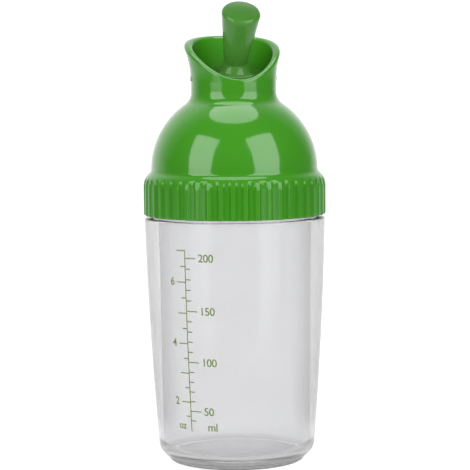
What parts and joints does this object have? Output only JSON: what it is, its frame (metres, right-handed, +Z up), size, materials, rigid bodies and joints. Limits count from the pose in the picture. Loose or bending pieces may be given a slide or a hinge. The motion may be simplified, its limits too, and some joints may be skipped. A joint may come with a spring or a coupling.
{
  "type": "salad dressing shaker bottle",
  "caption": "Clear tapered shaker bottle with a fluted green screw cap, a domed top, a slanted pouring collar and a thumb lever that turns a ball plug to open the spout.",
  "frame": {"origin": "the middle of the foot ring, on the table", "axes": "+Z up along the bottle's axis, -Y to the front where the collar's rim is low and the lever leans, +X to the right along the pivot pin"},
  "size_m": [0.0692, 0.0692, 0.1739],
  "materials": {
    "clear_plastic": "clear polished plastic",
    "green_plastic": "glossy moulded plastic",
    "lever_plastic": "satin moulded plastic, a little translucent",
    "silicone": "soft translucent silicone",
    "steel": "drawn steel"
  },
  "bodies": {
    "bottle": {"bottle": "clear_plastic"},
    "gasket": {"cap_gasket": "silicone"},
    "cap": {"cap_shell": "green_plastic", "valve_seat": "silicone", "seat_retainer": "green_plastic", "pivot_pin": "steel"},
    "lever": {"pour_lever": "lever_plastic"}
  },
  "joints": [
    {"name": "cap_lift", "type": "slide", "parent": "bottle", "child": "gasket", "axis": [0, 0, 1], "range_m": [0, 0.012]},
    {"name": "cap_turn", "type": "hinge", "parent": "gasket", "child": "cap", "pos_m": [0, 0, 0.1041], "axis": [0, 0, 1], "range_deg": [0, 720]},
    {"name": "lever_tilt", "type": "hinge", "parent": "cap", "child": "lever", "pos_m": [0, 0, 0.14544], "axis": [-1, 0, 0], "range_deg": [0, 60]}
  ],
  "couplings": [
    {"joint": "cap_lift", "follows": "cap_turn", "m_per_rad": 0.00095492}
  ]
}
